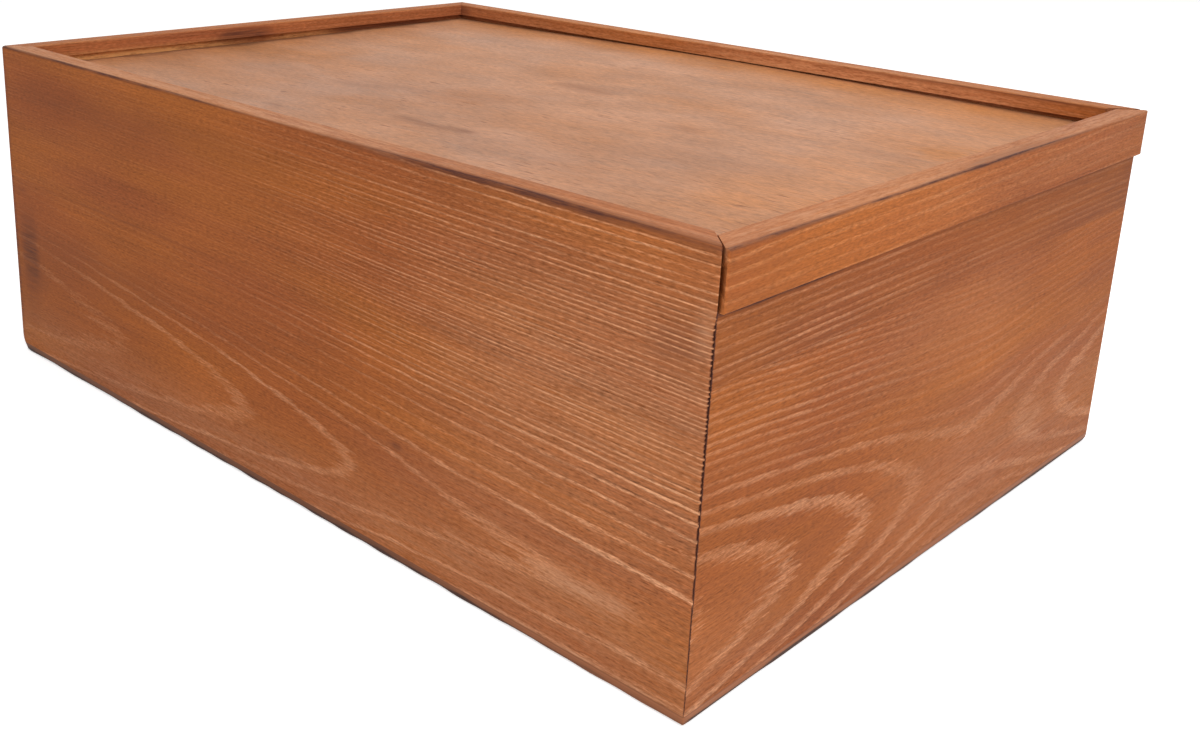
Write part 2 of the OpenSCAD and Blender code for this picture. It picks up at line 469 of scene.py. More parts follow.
def weighted(tree, base, *terms):
    """A base number plus outputs, each times its weight."""
    total = base
    for value, weight in terms:
        total = reckon(tree, "MULTIPLY_ADD", value, weight, total)
    return total


def node_group(name, inputs, outputs):
    """A new shader group with named sockets, and its inner ends."""
    tree = bpy.data.node_groups.new(name, "ShaderNodeTree")
    for socket, kind in inputs.items():
        tree.interface.new_socket(socket, in_out="INPUT", socket_type="NodeSocket" + kind)
    for socket, kind in outputs.items():
        tree.interface.new_socket(socket, in_out="OUTPUT", socket_type="NodeSocket" + kind)
    return tree, tree.nodes.new("NodeGroupInput").outputs, tree.nodes.new("NodeGroupOutput").inputs


FINGER_STRETCH = (0.08, 0.9, 0.9)
FEATHER_STRETCH = (0.25, 2.0, 2.0)
WANDER_STRETCH = (0.05, 0.12, 0.12)
BREAK_STRETCH = (0.07, 0.9, 0.9)
COMB_STRETCH = (0.03, 2.4, 2.4)
SAND_STRETCH = (0.6, 2.6, 2.6)
STREAK_STRETCH = (0.014, 0.35, 0.35)
DRIFT_STRETCH = (0.012, 0.06, 0.06)
CLOUD_STRETCH = (0.02, 0.05, 0.05)
WIDE_RINGS = (3.0, 12.0)
# The width of the painted shade line under each raised ring.
RIDGE_SHADE_LINE = (0.4, 0.05)
WARM_DRIFT = (-0.25, 0.3)
FULL_SMEAR = 1.2

pine, pine_in, pine_out = node_group(
    "brushed_pine",
    {"Ring": "Float", "Spread": "Float", "Fibre": "Vector", "Marking": "Vector", "Soft": "Color",
     "Warm": "Color", "Hard": "Color", "DarkMark": "Color", "PaleMark": "Color", "Late": "Float",
     "Torn": "Float"},
    {"Color": "Color", "Roughness": "Float", "Height": "Float"},
)
pine_marking_parts = pine.nodes.new("ShaderNodeSeparateXYZ")
plug(pine, pine_in["Marking"], pine_marking_parts.inputs[0])
pine_lines, pine_dirt_and_shade, pine_bare_and_light = pine_marking_parts.outputs
pine_finger = streaks(pine, pine_in["Fibre"], FINGER_STRETCH)
pine_feather = streaks(pine, pine_in["Fibre"], FEATHER_STRETCH)
pine_wander = streaks(pine, pine_in["Fibre"], WANDER_STRETCH, detail=1.0)
pine_break = streaks(pine, pine_in["Fibre"], BREAK_STRETCH, detail=2.0)
pine_comb = streaks(pine, pine_in["Fibre"], COMB_STRETCH, detail=2.0)
pine_sand = streaks(pine, pine_in["Fibre"], SAND_STRETCH, detail=2.0)
pine_streak = streaks(pine, pine_in["Fibre"], STREAK_STRETCH, detail=4.0)
pine_drift = streaks(pine, pine_in["Fibre"], DRIFT_STRETCH, detail=1.0)
pine_cloud = streaks(pine, pine_in["Fibre"], CLOUD_STRETCH, detail=2.0)
pine_wide = ramp(pine, pine_in["Spread"], *WIDE_RINGS)
pine_jag = weighted(pine, 0.0, (pine_finger, 0.7), (pine_feather, 0.35))
pine_torn = reckon(pine, "MULTIPLY", pine_jag, reckon(pine, "MULTIPLY", pine_wide, pine_in["Torn"]))
pine_count = weighted(
    pine, pine_in["Ring"], (pine_finger, 0.4), (pine_feather, 0.14), (pine_wander, 0.1), (pine_torn, 1.0),
)
pine_part = reckon(pine, "FRACT", pine_count)
pine_left = reckon(pine, "SUBTRACT", 1.0, pine_part)
pine_to_end = reckon(pine, "MULTIPLY", pine_left, pine_in["Spread"])
pine_grown = reckon(pine, "MULTIPLY_ADD", pine_in["Spread"], pine_in["Late"], LINE_WIDTH)
pine_width = reckon(pine, "MINIMUM", pine_grown, WIDEST_LINE)
pine_rise = ramp(pine, reckon(pine, "DIVIDE", pine_to_end, pine_width), 1.0, CREST_SHARE)
pine_blur = reckon(pine, "MULTIPLY_ADD", pine_in["Spread"], EDGE_SPREAD, EDGE_WIDTH)
pine_band = reckon(pine, "MULTIPLY", pine_rise, ramp(pine, pine_to_end, 0.0, pine_blur))
pine_year = reckon(pine, "FLOOR", pine_count)
pine_beat = reckon(pine, "SINE", reckon(pine, "MULTIPLY_ADD", pine_year, BEAT_TURN, BEAT_START))
pine_rhythm = reckon(pine, "SINE", reckon(pine, "MULTIPLY", pine_year, RHYTHM_TURN))
pine_vary = weighted(
    pine, 0.55, (pine_beat, 0.2), (pine_rhythm, 0.14), (pine_break, 2.0), (pine_sand, 1.2),
    (pine_cloud, 0.9),
)
pine_strength = reckon(pine, "MULTIPLY", pine_lines, weighted(pine, 1.0, (pine_wide, -0.3)))
pine_drawn = reckon(pine, "MULTIPLY", reckon(pine, "MAXIMUM", pine_vary, 0.0), pine_strength)
pine_line = reckon(pine, "MULTIPLY", pine_band, pine_drawn)
# A thin dark line where each ring starts: painted shade under the raised hard ring before it.
pine_below_ridge = ramp(pine, reckon(pine, "MULTIPLY", pine_part, pine_in["Spread"]), *RIDGE_SHADE_LINE)
pine_ridge_shade = reckon(pine, "MULTIPLY", pine_below_ridge, pine_drawn)
pine_early = reckon(pine, "MULTIPLY", reckon(pine, "MULTIPLY", pine_left, pine_left), pine_lines)
pine_body = mixed(pine, ramp(pine, pine_drift, *WARM_DRIFT), pine_in["Soft"], pine_in["Warm"])
pine_wood = mixed(pine, pine_line, pine_body, pine_in["Hard"])
pine_open = reckon(pine, "MULTIPLY", pine_lines, pine_lines)
pine_brushed = weighted(pine, 1.05, (pine_open, 0.6))
pine_grit = weighted(pine, 0.0, (pine_comb, 0.7), (pine_sand, 1.1), (pine_feather, 0.35))
pine_combed = reckon(pine, "MULTIPLY", pine_grit, pine_brushed)
pine_tone = weighted(
    pine, 1.06, (pine_streak, 0.4), (pine_cloud, 0.3), (pine_combed, 1.0), (pine_early, -0.06),
    (pine_ridge_shade, -0.5),
)
pine_toned = toned(pine, pine_wood, pine_tone)
# Paling from the marks: bare, rubbed wood, and painted light on shaded faces.
pine_rub = weighted(pine, 0.85, (pine_finger, 2.0), (pine_feather, 1.6), (pine_sand, 1.2))
pine_paled = reckon(pine, "MULTIPLY", pine_bare_and_light, pine_rub)
pine_pale_mixed = mixed(pine, pine_paled, pine_toned, pine_in["PaleMark"])
pine_grip = weighted(
    pine, 1.0, (pine_finger, 1.6), (pine_feather, 0.8), (pine_streak, 0.7), (pine_comb, 2.2),
    (pine_sand, 1.0), (pine_line, -1.2),
)
# Darkening from the marks: dirt, dark joints, and painted shade in hollows and shaded places.
pine_darkening = reckon(pine, "MULTIPLY", pine_dirt_and_shade, pine_grip)
pine_stained = mixed(pine, ramp(pine, pine_darkening, 0.0, FULL_SMEAR), pine_pale_mixed, pine_in["DarkMark"])
pine_rough = weighted(pine, 0.6, (pine_line, -0.1), (pine_streak, 0.2), (pine_sand, 0.15))
pine_relief = weighted(pine, 0.0, (pine_line, 0.4), (pine_feather, 0.6), (pine_sand, 0.7))
plug(pine, pine_stained, pine_out["Color"])
plug(pine, pine_rough, pine_out["Roughness"])
plug(pine, pine_relief, pine_out["Height"])


def pine_finish_for(name, soft, warm, hard, pale_mark=PINE_SCUFF_AND_LIGHT, late=LINE_SPREAD, torn=PINE_TORN):
    """A pine material: the brushed pine group fed by the board's own attributes. Late is the hard wood's
    share of a wide ring, and torn is how ragged the tips of the arches are."""
    material = bpy.data.materials.new(name)
    material.use_nodes = True
    tree = material.node_tree
    wood = tree.nodes.new("ShaderNodeGroup")
    wood.node_tree = pine
    readings = dict(ring="Fac", spread="Fac", fibre="Vector", marking="Vector")
    for value_name, output in readings.items():
        reader = tree.nodes.new("ShaderNodeAttribute")
        reader.attribute_name = value_name
        plug(tree, reader.outputs[output], wood.inputs[value_name.capitalize()])
    wood.inputs["Late"].default_value = late
    wood.inputs["Torn"].default_value = torn
    colours = dict(Soft=soft, Warm=warm, Hard=hard, DarkMark=PINE_GRIME_AND_SHADE, PaleMark=pale_mark)
    for socket, colour in colours.items():
        wood.inputs[socket].default_value = stain(colour)
    bumped = tree.nodes.new("ShaderNodeBump")
    bumped.inputs["Distance"].default_value = PINE_BUMP
    plug(tree, wood.outputs["Height"], bumped.inputs["Height"])
    surface = tree.nodes["Principled BSDF"].inputs
    surface["Specular IOR Level"].default_value = PINE_SHINE
    plug(tree, wood.outputs["Color"], surface["Base Color"])
    plug(tree, wood.outputs["Roughness"], surface["Roughness"])
    plug(tree, bumped.outputs["Normal"], surface["Normal"])
    return material


def worn(value, *places):
    """A plain number, or a function of the place along the board and up it."""
    return value(*places) if callable(value) else value


def pine_board(
    name, section, run, reach, quarters, log, marks, material, body="box", flush=0,
):
    """A mitred board as one piece: the section carried along its side, brushed on its outer face, with the
    ring count, the ring's width, the fibre's coordinates and the marking (lines; dirt and painted shade;
    bare wood and painted light) at every point. The outer arris is darkened, dirt gathers in the joints,
    the notches are darkened as painted shade, and the crest is rubbed pale. A notched joint has lost its
    soft wood: there the arris is drawn back along the mitre between the hard rings."""
    along, depth, up = carried(section, run, flush)
    flat = section[:, 0] == 0
    foot, top, crest = section[flat, 1].min(), section[flat, 1].max(), section[:, 1].max()
    inside = depth > section[:, 0].max() / 2
    ring = growth_rings(along, up, depth, log)
    spread, lying = ring_spread(ring, along, section)
    rubbed = smooth(crest - CREST_RUB[0], crest - CREST_RUB[1], up)
    brushing = worn(marks["lines"], along, up)
    lines = brushing * (1 - CREST_SMOOTHED * rubbed) * np.where(inside, INNER_LINES, 1)
    sunk = brushed(along, up, depth, flat, foot, top, log, spread, brushing * lying)
    # Dark marks: dirt and stains, and painted shade where a board lists one in a shaded place.
    dirt_and_shade = smudge(along, up, marks["outer"]) * ~inside + smudge(along, up, marks["inner"]) * inside
    dirt_and_shade = dirt_and_shade + worn(marks.get("stained", 0), along, up) * ~inside
    from_arris = np.hypot(depth, crest - up) / worn(marks["arris_width"], along)
    from_joint = run / 2 + flush - np.abs(along) - depth
    in_joint = worn(marks["joint"], along, up) * np.exp(-(from_joint / marks["joint_width"]) ** 2)
    in_joint = in_joint * np.where(depth > CORNER_RADIUS, INNER_JOINT, 1)
    soft = flat * (1 - raised_grain(ring, spread)) * np.exp(-(from_joint / NOTCH_REACH) ** 2)
    notch = worn(marks.get("notch", 0), along, up) * soft
    # The outer arris is darkened, the joints get dirt, and the notches get painted shade.
    dirt_and_shade = dirt_and_shade + worn(marks["arris"], along) * np.exp(-from_arris ** 2) + in_joint + NOTCH_SHADE * notch
    # Pale marks: bare, rubbed wood, and painted light where a board lists it on a shaded face.
    bare_and_light = smudge(along, up, marks["bare_and_light"]) * ~inside + smudge(along, up, marks["inner_bare_and_light"]) * inside
    marking = np.stack([lines, dirt_and_shade, bare_and_light + worn(marks["crest"], along) * rubbed], -1)
    fibre = np.stack([along, up, depth], -1) + FIBRE_OFFSET * (log["seed"] + 1)
    points = stood(along - np.sign(along) * notch, sunk + notch, up, reach, quarters)
    if body == "box":
        points = knocked(points)
    values = dict(ring=ring, spread=spread, fibre=fibre, marking=marking)
    piece(name + "_brushed", points, values, material, name, body)


def front_lines(along, up):
    """How far the pale lines show on the front: a trace, more towards the near end, more on the arches
    low at the far end, and more in a band by the near joint. Each is a strength times smooth rises."""
    near_end = 0.62 * smooth(-30, 110, along)
    low_arches = 0.3 * smooth(45, 30, up) * smooth(60, -20, along)
    by_joint = 0.35 * smooth(85, 120, along) * smooth(58, 45, up) * smooth(12, 24, up)
    return 0.06 + near_end + low_arches + by_joint


def front_arris(along):
    """How dark the arris of the front's rim is: full at the far end, less before the middle, more past it
    and less by the near corner. Each is a strength times a smooth rise."""
    before_middle = 0.9 * smooth(-48, 2, along)
    past_middle = 0.45 * smooth(12, 45, along)
    by_corner = 0.32 * smooth(98, 130, along)
    return 1.4 - before_middle + past_middle - by_corner


wall_section = grooved_section(
    WALL, FOOT, RIM, RIM_RADIUS, WALL - GROOVE_DEPTH, lid_low[2] - GROOVE_BELOW, lid_high[2] + GROOVE_ABOVE
)
front_pine = pine_finish_for(
    "stained_front_pine", SOFT_PINE, WARM_PINE, FRONT_HARD, late=FRONT_LATE, torn=FRONT_TORN,
)
front_marks = dict(
    lines=front_lines,
    outer=[
        (-125.5, 37, 5.5, 14, 0.4), (-122, 28, 7, 7, 0.12), (-129, 15, 7, 8, 0.2), (-134, 50, 1.2, 70, 0.4),
        (127, 80, 8, 8, 0.42), (-70, 58.5, 66, 0.5, 0.35), (49, 30.6, 2.2, 1.2, 0.6), (-95, 88, 45, 5, 0.12),
        (-25, 90, 30, 3, 0.12), (-75, 41, 50, 4, 0.14), (-60, 86, 80, 12, 0.22), (-105, 33, 60, 17, 0.24),
        (128, 63.5, 8, 2.5, 0.22), (129, 96.5, 6, 2, 0.2), (-129, 55.5, 4, 1.5, 0.25),
    ],
    inner=[],
    # The wide pale mark low across the whole front, 8 mm up, is painted light.
    bare_and_light=[
        (108, 2.9, 34, 0.35, 0.6), (120, 58, 60, 36, 0.24), (10, 8, 170, 9, 0.25), (80, 24, 50, 12, 0.1),
        (108, 18.5, 13, 2.6, 0.5), (132.5, 83, 2, 5, 0.3),
    ],
    inner_bare_and_light=[], crest=lambda along: 0.6 - 0.33 * smooth(20, 80, along),
    arris=front_arris, arris_width=lambda along: 0.6 + smooth(-10, 90, along),
    joint=lambda along, up: 1.2 - 0.9 * smooth(86, 88, up) * (along > 0), joint_width=0.22,
    notch=lambda along, up: 0.5 * (along > 0) * smooth(86, 84, up) * smooth(10, 50, up),
)
pine_board(
    "front_wall", wall_section, BOX_LENGTH, BOX_WIDTH / 2, 0, FRONT_LOG, front_marks, front_pine,
)

# The rear wall is a second board of the same pine, brushed, stained, grooved and mitred as the front one
# is. It was sawn nearer the edge of its log, so its arches are slimmer.
# The rear's pale colour serves its scuffed wood and the painted light on its inner face.
REAR_SCUFF_AND_LIGHT = (228, 160, 112)
STRAIGHT_HEART = dict(bow=0.0, bow_at=0.0, bow_round=1.0)
REAR_LOG = dict(
    **STRAIGHT_HEART, level=58.0, level_lean=0.02, deep=60.0, deep_lean=-0.03, wave=0.16, seed=8,
    years=[(40, -10), (57, 0), (68, 8), (80, 19), (90, 26), (120, 46)],
)
rear_marks = dict(
    lines=0.42, outer=[(128, 20, 8, 15, 0.5), (-20, 62, 3, 2, 0.6)],
    inner=[(-95, 99.4, 55, 0.7, 0.5), (130, 97, 8, 4, 0.5)], bare_and_light=[(-60, 3.0, 50, 0.6, 0.6)],
    # The two pale marks along the inner face, by the groove, are painted light.
    inner_bare_and_light=[(-45, 96.5, 62, 3.5, 0.72), (80, 96.5, 55, 3.5, 0.32)], crest=0.3,
    arris=0.8, arris_width=0.9, joint=1.2, joint_width=0.25,
)
rear_pine = pine_finish_for("stained_pine", SOFT_PINE, WARM_PINE, HARD_PINE, REAR_SCUFF_AND_LIGHT)
pine_board(
    "rear_wall", wall_section, BOX_LENGTH, BOX_WIDTH / 2, 2, REAR_LOG, rear_marks, rear_pine,
)

# The closed end wall is the full-height end that stops the lid: the same pine, brushed and grooved, with
# straight grain and a small knot near the rim on its inner face.
CLOSED_SOFT = (151, 86, 54)
CLOSED_WARM = (165, 98, 58)
# Raw pine, made paler as painted light for the shaded back of the closed end's groove.
RAW_PINE_AND_LIGHT = (240, 174, 110)
CLOSED_END_LOG = dict(
    **STRAIGHT_HEART, level=-14.0, level_lean=0.03, deep=44.0, deep_lean=0.02, wave=0.2, seed=5,
    years=[(30, -8), (40, 0), (60, 13), (85, 34), (105, 48), (140, 72)],
)
closed_end_marks = dict(
    lines=0.42, outer=[(-86, 28, 9, 18, 0.3)],
    # The thin dark line under the groove's lip and the dark mark in the groove towards the rear are painted
    # shade; the first mark is the knot.
    inner=[(13, 97.2, 12, 2.4, 0.7), (0, 96.2, 130, 0.3, 0.5), (-55, 94.5, 30, 1.2, 0.7)],
    # The pale marks in the groove, 94.4 mm up, are raw wood made paler as painted light.
    bare_and_light=[(20, 3.0, 40, 0.4, 0.4)], inner_bare_and_light=[(60, 94.4, 42, 1.5, 1.2), (-14, 94.5, 14, 1.2, 0.7)],
    crest=0.12, arris=0.8, arris_width=0.9, joint=1.2, joint_width=0.25,
)
closed_pine = pine_finish_for("stained_pine_raw_lit_groove", CLOSED_SOFT, CLOSED_WARM, HARD_PINE, RAW_PINE_AND_LIGHT)
pine_board(
    "closed_end_wall", wall_section, BOX_WIDTH, BOX_LENGTH / 2, 3, CLOSED_END_LOG, closed_end_marks,
    closed_pine,
)

# The open end wall is a lower board of the same pine that lets the lid out over its top. Its face was
# sawn near the middle of the log, so wide feathered arches run in from both ends.
END_RADIUS = 0.3
END_LIFT = 0.18
END_HARD = (204, 146, 108)
END_LATE = 0.42
END_TORN = 0.65
END_SEAM = 72.3
END_STRIP_LOG = dict(
    **STRAIGHT_HEART, level=-200.0, level_lean=0.002, deep=10.0, deep_lean=0.0, wave=0.08, seed=12,
    years=[(260, -7), (273.2, 0), (275.1, 1), (276.7, 2), (278.3, 3), (280.6, 4), (282.3, 5), (288, 8)],
)
OPEN_END_LOG = dict(
    level=23.0, level_lean=0.0, deep=71.0, deep_lean=0.0, bow=0.05, bow_at=17.5, bow_round=13.0,
    wave=0.08, seed=11, seam=END_SEAM, strip=END_STRIP_LOG,
    years=[
        (49, -12), (66, 0), (67.7, 1), (69.1, 2), (70.3, 3), (71.6, 4), (72.4, 5), (73.4, 6), (75.3, 8),
        (77.2, 10), (78.5, 11), (80.3, 13), (83.8, 17), (120, 55),
    ],
)


def end_lines(along, up):
    """How far the pale lines show on the open end: a trace, more towards the near joint, more low on the
    board, and a little more on the strip above the seam. Each is a strength times a smooth rise."""
    by_joint = 0.23 * smooth(0, -60, along)
    low_arches = 0.3 * smooth(48, 30, up)
    upper_strip = 0.06 * smooth(72, 73, up)
    return 0.14 + by_joint + low_arches + upper_strip


def end_stain(along, up):
    """How much darker the strip above the seam is stained: more towards the far corner."""
    return smooth(72.1, 72.6, up) * (0.24 + 0.18 * smooth(20, 70, along))


END_TOP = millimetres("open_end_wall")[1][2] + END_LIFT
end_section = np.concatenate([
    straight((0, FOOT), (0, END_TOP - END_RADIUS), ROW_STEP),
    *board_top(WALL, END_TOP, END_RADIUS),
    straight((WALL, END_TOP - INNER_RADIUS), (WALL, FOOT), PLAIN_STEP),
    straight((WALL, FOOT), (0, FOOT), PLAIN_STEP),
])
open_end_marks = dict(
    lines=end_lines, stained=end_stain,
    # The dark line 86.6 mm up, under the batten, is painted shadow.
    outer=[
        (67.6, 43.4, 1.6, 1.0, 0.35), (-76, 86.6, 20, 0.4, 1.0), (20, END_SEAM, 120, 0.3, 0.2),
        (-85, 45, 45, 40, 0.2), (-35, 12, 40, 16, 0.2),
    ],
    inner=[],
    # The two wide pale marks low on the board are painted light.
    bare_and_light=[
        (45, 14, 75, 28, 0.26), (-85, 10, 30, 14, 0.16), (0, 62, 40, 12, 0.12), (53, 20, 8, 4.5, 0.25),
    ],
    inner_bare_and_light=[], crest=0.0,
    arris=0.3, arris_width=0.8, joint=1.2, joint_width=0.22,
)
end_pine = pine_finish_for(
    "stained_end_pine", SOFT_PINE, WARM_PINE, END_HARD, late=END_LATE, torn=END_TORN,
)
pine_board(
    "open_end_wall", end_section, BOX_WIDTH, BOX_LENGTH / 2, 1, OPEN_END_LOG, open_end_marks, end_pine,
)

# The bottom is a thin plywood board the full size of the box, stained with it, glued and pinned under the
# walls. Its lower edge is sanded round.
FOOT_RADIUS = 0.6
OUTLINE_STEP = 2.0
CORNER_POINTS = 5
UNDERSIDE_SINK = 0.08
PLATE_STEP = 5.0
PLATE_CORE = 6.0
FOOT_CHIP = 0.16
CHIP_SEED = 31
CHIP_WAVES = (5, 40)
CHIP_HEIGHT = (1.3, 0.5)
# The front of the bottom's edge is darker towards the far end.
FRONT_DARKENING = 0.6
FRONT_DARKENING_CLEARS = 0.85
FRONT_DARKENING_END = (40, 100)
# The low band of the bottom's edge, most at the edge and a little on the underside, is darkened as painted
# shade where the box meets the floor; the shade clears towards the near foot of the front.
SHADE_CLEARS = 0.65
SHADE_CLEARS_START = (70, 125)
UNDER_SHADE = 0.2
EDGE_SHADE = 0.75
SHADE_HEIGHT = (0.95, 1.3)
SHADE_WAVER = 0.3
JOINT_SOIL = 0.5
JOINT_HEIGHT = (2.1, 2.4)
PLY_TAN = (172, 112, 72)
PLY_WARM = (164, 100, 58)
PLY_DARK = (62, 42, 36)
PLY_EDGE = (168, 108, 74)


def plan_outline(length, width, radius):
    """The outline of a rectangle with rounded corners, anticlockwise, and its outward direction: an arc and
    a straight side for each quarter, as complex numbers turned by quarter turns."""
    corner = np.array([1, 1j, -1, -1j]) * (0.5 + 0.5j)
    corner = np.sign(corner.real) * (length / 2 - radius) + 1j * np.sign(corner.imag) * (width / 2 - radius)
    arc = np.exp(0.5j * math.pi * np.arange(CORNER_POINTS) / CORNER_POINTS)
    stretches = []
    for quarter, (here, following) in enumerate(zip(corner, np.roll(corner, -1))):
        out = 1j ** (quarter + 1)
        count = math.ceil(abs(following - here) / OUTLINE_STEP)
        side = here + (following - here) * np.arange(count) / count
        stretches.append(np.stack([here + radius * arc * 1j ** quarter, arc * 1j ** quarter], -1))
        stretches.append(np.stack([side + radius * out, np.full(count, out)], -1))
    place, out = np.concatenate(stretches).T
    return np.stack([place.real, place.imag, out.real, out.imag], -1)


bottom_top = millimetres("bottom_board")[1][2]
half_plate = BOX_WIDTH / 2 - PLATE_CORE
edge_walk = np.concatenate([
    straight((half_plate, bottom_top), (0, bottom_top), PLATE_STEP),
    straight((0, bottom_top), (0, FOOT_RADIUS), ROW_STEP),
    rounded((FOOT_RADIUS, FOOT_RADIUS + UNDERSIDE_SINK), FOOT_RADIUS, 180, 270),
    straight((FOOT_RADIUS, UNDERSIDE_SINK), (half_plate, UNDERSIDE_SINK), PLATE_STEP),
    [(half_plate, UNDERSIDE_SINK)],
])
outline = plan_outline(BOX_LENGTH, BOX_WIDTH, CORNER_RADIUS)
inset = edge_walk[:, :1]
plate = np.stack([
    outline[:, 0] - inset * outline[:, 2],
    outline[:, 1] - inset * outline[:, 3],
    np.broadcast_to(edge_walk[:, 1:], (len(edge_walk), len(outline))),
], -1)
plate[..., 0] = np.clip(plate[..., 0], inset - BOX_LENGTH / 2, BOX_LENGTH / 2 - inset)
plate[..., 1] = np.clip(plate[..., 1], inset - BOX_WIDTH / 2, BOX_WIDTH / 2 - inset)
plate_x, plate_y, plate_z = np.moveaxis(plate.copy(), -1, 0)
unevenness = np.clip(ripple(plate_x, plate_y, CHIP_SEED, *CHIP_WAVES), -1, 1)
by_edge = smooth(PLATE_CORE / 2, FOOT_RADIUS, inset)
plate[..., 2] = plate_z + FOOT_CHIP * (1 + unevenness) * by_edge * smooth(*CHIP_HEIGHT, plate_z)

VENEER_FIBRE = (0.05, 0.9, 0.9)
VENEER_FINE = (0.5, 1.5, 1.5)
VENEER_FLECK = (0.14, 0.9, 0.9)
VENEER_PATCH = (0.03, 0.06, 0.06)
VENEER_CLOUD = (0.02, 0.035, 0.035)
DASH_CHANCE = (0.15, 0.33)
DASH_STRENGTH = 0.75
PLY_LAYER = 1.25
LAYER_BLEND = (0.35, 0.65)
LAYER_SHADE = -0.15
SIDE_FACING = (0.7, 0.4)
PLY_SHINE = 0.1
PLY_BUMP = 0.00008

veneer, veneer_in, veneer_out = node_group(
    "stained_veneer",
    {"Place": "Vector", "Marks": "Vector", "Tan": "Color", "Warm": "Color", "Dark": "Color"},
    {"Color": "Color", "Roughness": "Float", "Height": "Float"},
)
veneer_marks = veneer.nodes.new("ShaderNodeSeparateXYZ")
plug(veneer, veneer_in["Marks"], veneer_marks.inputs[0])
veneer_dirt_and_shade, veneer_tint, veneer_open = veneer_marks.outputs
veneer_fibre = streaks(veneer, veneer_in["Place"], VENEER_FIBRE, detail=5.0, roughness=0.65)
veneer_fine = streaks(veneer, veneer_in["Place"], VENEER_FINE, detail=4.0)
veneer_fleck = streaks(veneer, veneer_in["Place"], VENEER_FLECK, detail=2.0)
veneer_patch = streaks(veneer, veneer_in["Place"], VENEER_PATCH, detail=3.0)
veneer_cloud = streaks(veneer, veneer_in["Place"], VENEER_CLOUD, detail=4.0)
veneer_chance = weighted(veneer, veneer_fleck, (veneer_patch, 0.45), (veneer_open, 0.14))
veneer_dash = reckon(veneer, "MULTIPLY", ramp(veneer, veneer_chance, *DASH_CHANCE), DASH_STRENGTH)
veneer_hue = weighted(veneer, 0.26, (veneer_cloud, 1.3), (veneer_fibre, 0.35), (veneer_tint, 1.0))
veneer_body = mixed(veneer, veneer_hue, veneer_in["Tan"], veneer_in["Warm"])
veneer_grip = weighted(veneer, 0.8, (veneer_fibre, 1.6), (veneer_fine, 0.6))
# Darkening from the marks: dirt, and painted shade under the closed end's lip and low on the bottom's edge.
veneer_darkening = reckon(veneer, "MULTIPLY", veneer_dirt_and_shade, veneer_grip)
veneer_dark = reckon(veneer, "MAXIMUM", veneer_dash, veneer_darkening)
veneer_wood = mixed(veneer, veneer_dark, veneer_body, veneer_in["Dark"])
veneer_tone = weighted(veneer, 1.0, (veneer_fibre, 0.6), (veneer_fine, 1.1), (veneer_patch, 0.7))
plug(veneer, toned(veneer, veneer_wood, veneer_tone), veneer_out["Color"])
plug(veneer, weighted(veneer, 0.5, (veneer_cloud, 0.25), (veneer_fibre, 0.15)), veneer_out["Roughness"])
veneer_relief = weighted(veneer, 0.0, (veneer_fibre, 0.8), (veneer_fine, 0.5), (veneer_dash, -0.6))
plug(veneer, veneer_relief, veneer_out["Height"])


def ply_finish_for(name, tan, warm, dark, edge):
    """A plywood material: stained veneer on the broad faces, and its glued layers on the edges."""
    material = bpy.data.materials.new(name)
    material.use_nodes = True
    tree = material.node_tree
    place = tree.nodes.new("ShaderNodeTexCoord").outputs["Object"]
    marks = tree.nodes.new("ShaderNodeAttribute")
    marks.attribute_name = "marks"
    wood = tree.nodes.new("ShaderNodeGroup")
    wood.node_tree = veneer
    plug(tree, toned(tree, place, 1 / MM), wood.inputs["Place"])
    plug(tree, marks.outputs["Vector"], wood.inputs["Marks"])
    for socket, colour in dict(Tan=tan, Warm=warm, Dark=dark).items():
        wood.inputs[socket].default_value = stain(colour)
    facing = tree.nodes.new("ShaderNodeSeparateXYZ")
    plug(tree, tree.nodes.new("ShaderNodeNewGeometry").outputs["True Normal"], facing.inputs[0])
    side = ramp(tree, reckon(tree, "ABSOLUTE", facing.outputs["Z"]), *SIDE_FACING)
    height = tree.nodes.new("ShaderNodeSeparateXYZ")
    plug(tree, toned(tree, place, 1 / (MM * PLY_LAYER)), height.inputs[0])
    layer = ramp(tree, reckon(tree, "PINGPONG", height.outputs["Z"], 1.0), *LAYER_BLEND)
    layered = toned(tree, stain(edge)[:3], weighted(tree, 1.0, (layer, LAYER_SHADE)))
    dirt_and_shade = tree.nodes.new("ShaderNodeSeparateXYZ")
    plug(tree, marks.outputs["Vector"], dirt_and_shade.inputs[0])
    edge_darkened = mixed(tree, dirt_and_shade.outputs["X"], layered, stain(dark))
    surface = tree.nodes["Principled BSDF"].inputs
    surface["Specular IOR Level"].default_value = PLY_SHINE
    plug(tree, mixed(tree, side, wood.outputs["Color"], edge_darkened), surface["Base Color"])
    plug(tree, wood.outputs["Roughness"], surface["Roughness"])
    bumped = tree.nodes.new("ShaderNodeBump")
    bumped.inputs["Distance"].default_value = PLY_BUMP
    plug(tree, wood.outputs["Height"], bumped.inputs["Height"])
    plug(tree, bumped.outputs["Normal"], surface["Normal"])
    return material


on_front = plate_y < FOOT_RADIUS - BOX_WIDTH / 2
front_darkening = FRONT_DARKENING * on_front * (1 - FRONT_DARKENING_CLEARS * smooth(*FRONT_DARKENING_END, plate_x))
shade_clears = SHADE_CLEARS * on_front * smooth(*SHADE_CLEARS_START, plate_x)
